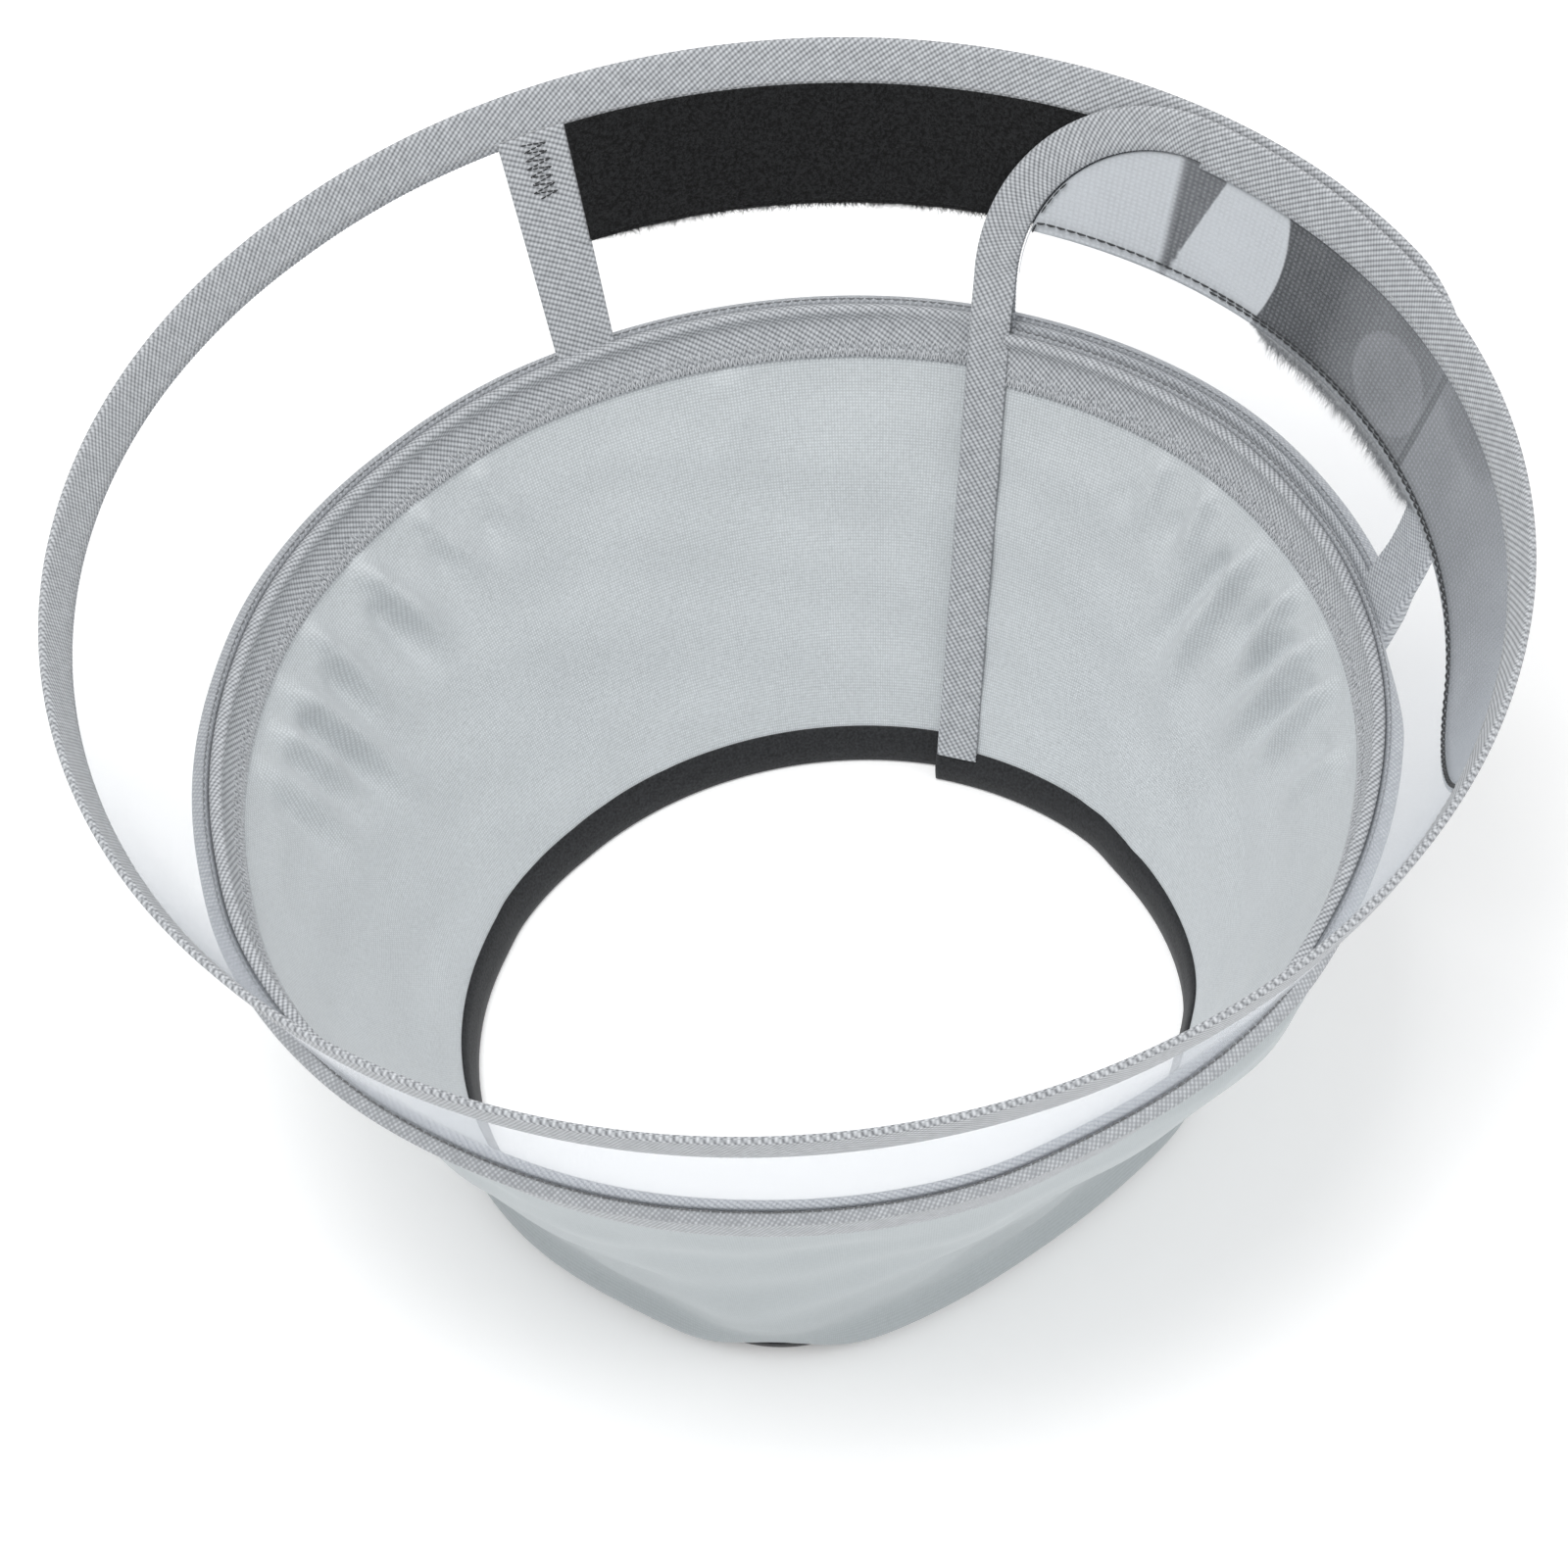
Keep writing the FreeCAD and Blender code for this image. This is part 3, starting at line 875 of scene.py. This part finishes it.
def strip_tone(turn, slant):
    """0 dark to 1 pale over the hook strip: pale near the flap's end, then dark, then mid grey. The areas are
    angles round Z in degrees."""
    angle = (FLAP_END - turn) / DEG
    height = slant / MM

    def band(low, high, soft=0.25):
        return smooth(angle, low - soft, low + soft) * (1 - smooth(angle, high - soft, high + soft))

    def disc(centre, middle, reach, tall, soft=0.06):
        return 1 - smooth(((angle - centre) / reach) ** 2 + ((height - middle) / tall) ** 2, 1 - soft, 1 + soft)

    def lay(tone, area, value):
        return tone * (1 - area) + area * value

    tone = 0.40 + 0.06 * smooth(-angle, 0, 20)
    tone = lay(tone, band(16.6, 80), 0.24 - 0.2 * smooth(angle, 25, 33))
    tone = lay(tone, disc(34, 228, 3.6, 14, 0.3) * 0.5, 0.06)
    tone = lay(tone, disc(21.6, 219, 5.2, 14.5), 0.36)
    tone = lay(tone, disc(10, 238, 6.0, 9.0, 0.5) * 0.5, 0.2)
    tone = lay(tone, band(15.4, 16.4), 0.16)
    tone = lay(tone, smooth(angle - 0.003 * (height - 223) ** 2, 37.4, 37.6), 0.97)
    wedge_edge = 45.3 + 0.1 * np.clip(239 - height, 0, 40)
    tone = lay(tone, band(wedge_edge, 49.7, 0.1), 0.2)
    tone = lay(tone, disc(59.5, 198, 1.2, 2.0) + disc(61.6, 196.5, 0.6, 1.2), 0.35)
    below = 1 - smooth(slant, strip_low(turn) + 2.6 * MM, strip_low(turn) + 3.4 * MM)
    return np.clip(lay(tone, below * 0.5, 0.85), 0, 1)


strip_start = end_turn(STRIP_TOP_INSET)
strip_turns = np.concatenate([
    strip_start + (TURN_CORNER - strip_start) * (1 - np.cos(np.linspace(0, math.pi / 2, 60))),
    np.linspace(TURN_CORNER, STRIP_END, 900)[1:],
])
hook = panel("hook_strip", strip_turns, strip_low, strip_high, 40,
             level(FILM_FACE), level(FILM_FACE + HOOK_THICK), [STRIP], strip_tone)
fix_right(hook)
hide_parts("flap_hook_strip", "front_hook_strip")

STAY_EDGE = FLAP_END - 104.5 * DEG + 2 * math.pi    # where the loop strip starts, next to the stay tape
LOOP_STOP = TURN_END - end_turn(TAIL_WIDTH - 1.5 * MM)


def loop_low(turn):
    return np.minimum(LOOP_LOW, strip_high(turn) - 0.5 * MM)


def pile_face(turn, slant):
    """Face of the pile, rounded off at its lower edge."""
    edge_drop = 0.9 * MM * (1 - smooth(slant, LOOP_LOW, LOOP_LOW + 2.5 * MM))
    return -FILM_FACE - PILE_THICK + edge_drop


loop = panel("loop_strip", turns_between(STAY_EDGE, LOOP_STOP, 1.2 * MM), loop_low, strip_high, 44,
             pile_face, level(-FILM_FACE), [PILE])
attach(loop, "tail")
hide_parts("tail_loop_strip")


def fringe(name, first, last, count, seed, low, near, far, longest, material):
    """Short fibres that stand out from the lower edge of a strip, between two offsets."""
    draw = np.random.default_rng(seed)
    turn = draw.uniform(first, last, count)
    lean = draw.normal(0, 0.012, count)
    reach = np.minimum(draw.gamma(2.2, 0.25 * longest, count), 1.6 * longest)
    reach = reach * smooth(turn, first, first + 3 * DEG) * (1 - smooth(turn, last - 3 * DEG, last))
    depth = draw.uniform(near, far, count)
    width = 0.09 * MM / (BASE_R + LOOP_LOW * SIN)
    root = low(turn) + 0.6 * MM
    corners = []
    for shift, length, fold in ((-width, 0, 0), (width, 0, 0), (0, 0, 0.12 * MM), (0, 1, 0)):
        corners.append(surface(turn + shift + lean * length, root - (reach + 0.6 * MM) * length, depth + fold))
    points = np.stack(corners, 1).reshape(-1, 3)
    faces = []
    for index in range(count):
        a = 4 * index
        faces += [(a, a + 1, a + 3), (a + 1, a + 2, a + 3), (a + 2, a, a + 3), (a, a + 2, a + 1)]
    return make_mesh(name, points, faces, points[:, :2], [material])


pile_fringe = fringe("loop_fringe", STAY_EDGE, LOOP_STOP - 0.6 * DEG, 5200, 7, loop_low,
                     -FILM_FACE - PILE_THICK, -FILM_FACE - 0.1 * MM, 2.2 * MM, PILE)
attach(pile_fringe, "tail")
hook_fringe = fringe("hook_fringe", FLAP_END - 39 * DEG, FLAP_END - 11 * DEG, 9000, 11, strip_low,
                     FILM_FACE, FILM_FACE + HOOK_THICK, 5.0 * MM, GREY_THREAD)
fix_right(hook_fringe)

# ---------------------------------------------------------------- stay tape
STAY = (STAY_EDGE - 6 * DEG, STAY_EDGE + 0.1 * DEG)
stay = panel("stay_tape", np.linspace(*STAY, 24), level(SEAM_HIGH - 2 * MM), level(SLANT - RIM_WIDTH + 2 * MM),
             60, level(-FILM_FACE - 0.8 * MM), level(-FILM_FACE), [TAPE_CLOTH])
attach(stay, "tail")
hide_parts("tail_stay_tape")

# ---------------------------------------------------------------- lower strips, between the two ends
LOWER_STRIP = (41 * MM, 71 * MM)


def lower_strip(name, first, last, bed, side, thick, material):
    """A strip with rounded edges, sewn to the padded band. bed is the face that it lies on, and side is 1
    on the outside of the cone and -1 on the inside."""
    low, high = LOWER_STRIP

    def face(turn, slant):
        aside = np.minimum(turn - first, last - turn) * BASE_R
        edge = smooth(np.minimum(aside, np.minimum(slant - low, high - slant)), 0, 2 * MM)
        return bed(turn, slant) + side * thick * (0.3 + 0.7 * edge)

    def back(turn, slant):
        return bed(turn, slant) - side * 0.3 * MM

    faces = (back, face) if side > 0 else (face, back)
    return panel(name, turns_between(first, last, 1.5 * MM), level(low), level(high), 24, *faces, [material],
                 tone=lambda turn, slant: 0.62 + 0.06 * np.sin(31 * turn))


low_hook = lower_strip("low_hook_strip", 9 * DEG, 52 * DEG, pad_outer, 1, 0.5 * MM, STRIP)
fix_right(low_hook)
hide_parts("flap_low_hook_strip")
low_loop = lower_strip("low_loop_strip", TURN_END - 57 * DEG, TURN_END - 11 * DEG, pad_inner, -1, 0.9 * MM,
                       PILE)
fix_left(low_loop)
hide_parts("tail_low_loop_strip")

# ---------------------------------------------------------------- stitching
SEWING_GAP = 0.012                      # turn between the end bindings and the sewing round the seam


def both_sides(layer, build):
    """Sewing that runs all round a seam, as a right and a left piece."""
    gap = SEAM_INSET + SEWING_GAP
    for side, first, last, fix in (("right", gap, TURN_SPLIT, fix_right),
                                   ("left", TURN_SPLIT, TURN_END - gap, fix_left)):
        piece = build(f"{layer}_{side}", first, last)
        fix(piece)


def sewn_line(slant, offset, length, radius, material, inset=0.0):
    def build(name, first, last):
        turns = turns_between(first, last, 1.0 * MM, inset)
        return stitches(name, turns, slant, offset, length, radius, material)
    return build


def slanting_rows(low, high, swing, pitch, offset, radius, material):
    def build(name, first, last):
        return slanting(name, turns_between(first, last, pitch), low, high, swing, offset, radius, material)
    return build


rim_face = -(FILM_HALF + 1.05 * TAPE)
seam_face = -(SEAM_NEAR + 0.85 * TAPE)
both_sides("rim_stitches", sewn_line(SLANT - RIM_WIDTH + 2.4 * MM, rim_face, 3.4 * MM, 0.2 * MM,
                                     GREY_THREAD, TURN_CORNER))
# Stitches in the groove between the seam tapes, in the dark thread that also paints the groove's shade.
both_sides("groove_stitches", sewn_line(OUTER_HIGH + 0.05 * MM, 0.8 * MM, 3.0 * MM, 0.32 * MM, SHADOW_THREAD))
both_sides("serging", slanting_rows(SEAM_LOW - 0.8 * MM, SEAM_LOW + 2.9 * MM, 0.42 * MM, 0.8 * MM,
                                    seam_face, 0.3 * MM, PALE_THREAD))
both_sides("serging_upper", slanting_rows(SEAM_LOW + 2.6 * MM, SEAM_LOW + 6.4 * MM, 0.7 * MM, 1.9 * MM,
                                          seam_face, 0.3 * MM, PALE_THREAD))


def strip_corner_line():
    """Down the inside of the flap's end binding, round its corner, to the strip's lower edge."""
    inset = RIM_WIDTH - 0.9 * MM
    turns = np.linspace(TURN_CORNER * 0.4, end_turn(inset) + 0.002, 60)
    slant = top_edge(turns, inset)
    keep = slant > STRIP_LOW + 3.2 * MM
    return turns[keep], slant[keep]


def strip_low_line(first, above):
    """Along the strip's lower edge and up to the rim at its far end."""
    turns = np.linspace(first, STRIP_END, 500)
    return turns, np.minimum(strip_low(turns) + above, top_edge(turns, STRIP_TOP_INSET + 1.0 * MM))


for row, (stitch_turn, stitch_slant) in (
        ("corner", strip_corner_line()),
        ("upper", strip_low_line(end_turn(RIM_WIDTH + 0.3 * MM) + 0.006, 3.7 * MM)),
        ("lower", strip_low_line(FLAP_END - 44 * DEG, 2.6 * MM))):
    sewn = stitches(f"strip_stitches_{row}", stitch_turn, stitch_slant, -(FILM_HALF + 0.02 * MM), 3.6 * MM,
                    0.3 * MM if row == "corner" else 0.42 * MM, DARK_THREAD)
    fix_right(sewn)


def zigzag():
    """Bar-tack that holds the stay tape to the rim binding."""
    middle = 0.5 * (STAY[0] + STAY[1])
    rows = np.arange(0, 15)
    slant = SLANT - RIM_WIDTH - 1 * MM - rows * 1.4 * MM
    swing = np.where(rows % 2 == 0, -1, 1) * 4.2 * MM / STRIP_R
    return middle + swing, slant


zig_turn, zig_slant = zigzag()
tack = stitches("stay_bar_tack", zig_turn, zig_slant, -(FILM_FACE + 0.85 * MM), 2.1 * MM, 0.3 * MM, DARK_THREAD)
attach(tack, "tail")

# ---------------------------------------------------------------- camera, floor and light
CAMERA_LENS = 157.7                     # in mm, on a sensor 36 mm wide
CAMERA_DISTANCE = 2.142
CAMERA_ELEVATION = 48.5 * DEG
CAMERA_ROLL = -6.18 * DEG
CAMERA_TARGET = Vector((-0.00707, 0, 0.1289))

back = Vector((0, -math.cos(CAMERA_ELEVATION), math.sin(CAMERA_ELEVATION)))
level_right = Vector((1, 0, 0))
level_up = back.cross(level_right)
right = level_right * math.cos(CAMERA_ROLL) + level_up * math.sin(CAMERA_ROLL)
up = level_up * math.cos(CAMERA_ROLL) - level_right * math.sin(CAMERA_ROLL)
camera_data = bpy.data.cameras.new("camera")
camera_data.lens = CAMERA_LENS
camera_data.sensor_width = 36
camera_data.clip_end = 50
camera = bpy.data.objects.new("camera", camera_data)
place = Matrix((right, up, back)).transposed().to_4x4()
place.translation = CAMERA_TARGET + back * CAMERA_DISTANCE
camera.matrix_world = place
bpy.context.scene.collection.objects.link(camera)
bpy.context.scene.camera = camera

HALF_FLOOR = 6.0
floor_mesh = bpy.data.meshes.new("floor")
corners = [(HALF_FLOOR * x, HALF_FLOOR * y, 0) for x, y in ((-1, -1), (1, -1), (1, 1), (-1, 1))]
floor_mesh.from_pydata(corners, [], [(0, 1, 2, 3)])
floor = bpy.data.objects.new("floor", floor_mesh)
bpy.context.scene.collection.objects.link(floor)
floor_paint = Material("floor")
for socket, value in (("Base Color", (0.93, 0.93, 0.93, 1)), ("Roughness", 0.9), ("Specular IOR Level", 0.0),
                      ("Emission Color", (1, 1, 1, 1)), ("Emission Strength", 0.2)):
    floor_paint.shader.inputs[socket].default_value = value
floor_mesh.materials.append(floor_paint.material)


def area_light(name, spot, size, power):
    data = bpy.data.lights.new(name, "AREA")
    data.shape = "DISK"
    data.size = size
    data.energy = power
    lamp = bpy.data.objects.new(name, data)
    lamp.location = spot
    lamp.rotation_mode = "QUATERNION"
    lamp.rotation_quaternion = (Vector(spot) - Vector((0, 0, 0.1))).to_track_quat("Z", "Y")
    bpy.context.scene.collection.objects.link(lamp)


area_light("key", (-0.5, -0.5, 2.9), 1.5, 42)
area_light("right", (2.3, -1.2, 1.9), 1.6, 17)
area_light("left", (-2.3, -0.8, 2.0), 1.6, 8)

world = bpy.data.worlds.new("world")
world.use_nodes = True
world.node_tree.nodes["Background"].inputs[0].default_value = (1, 1, 1, 1)
world.node_tree.nodes["Background"].inputs[1].default_value = 0.62
bpy.context.scene.world = world
bpy.context.scene.view_settings.view_transform = "Standard"
